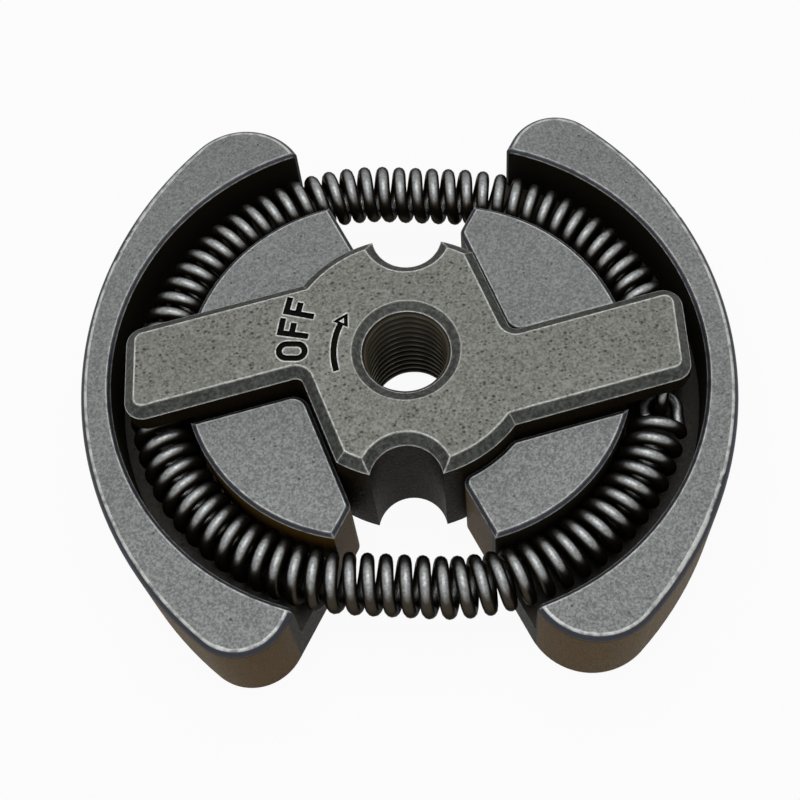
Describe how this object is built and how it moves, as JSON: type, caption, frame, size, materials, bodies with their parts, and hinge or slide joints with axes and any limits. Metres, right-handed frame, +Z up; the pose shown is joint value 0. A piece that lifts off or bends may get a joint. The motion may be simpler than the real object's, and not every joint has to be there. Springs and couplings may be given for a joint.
{
  "type": "chainsaw clutch",
  "caption": "Centrifugal clutch for a chainsaw: a hub with drive arms and a left-hand threaded bore, sliding sintered shoes and a coil spring ring that pulls them in.",
  "frame": {"origin": "on the bore axis in the bottom plane, on which hub and shoes lie", "axes": "+Z up along the bore to the marked face, +X along the middle line of the right-hand shoe"},
  "size_m": [0.0626, 0.0558, 0.015],
  "materials": {
    "hub_steel": "sintered, porous, satin",
    "shoe_steel": "sintered, steam treated, satin",
    "spring_steel": "dark drawn wire, semi-gloss"
  },
  "bodies": {
    "hub": {"hub": "hub_steel", "garter_spring": "spring_steel"},
    "shoe_right": {"shoe_right": "shoe_steel"},
    "shoe_left": {"shoe_left": "shoe_steel"}
  },
  "joints": [
    {"name": "shoe_right_slide", "type": "slide", "parent": "hub", "child": "shoe_right", "axis": [0.9774, 0.2113, 0], "range_m": [0, 0.0012], "stiffness_N_per_m": 2500, "springref_m": -0.002, "deforming": ["garter_spring"]},
    {"name": "shoe_left_slide", "type": "slide", "parent": "hub", "child": "shoe_left", "axis": [-0.9774, -0.2113, 0], "range_m": [0, 0.0012], "stiffness_N_per_m": 2500, "springref_m": -0.002, "deforming": ["garter_spring"]}
  ]
}
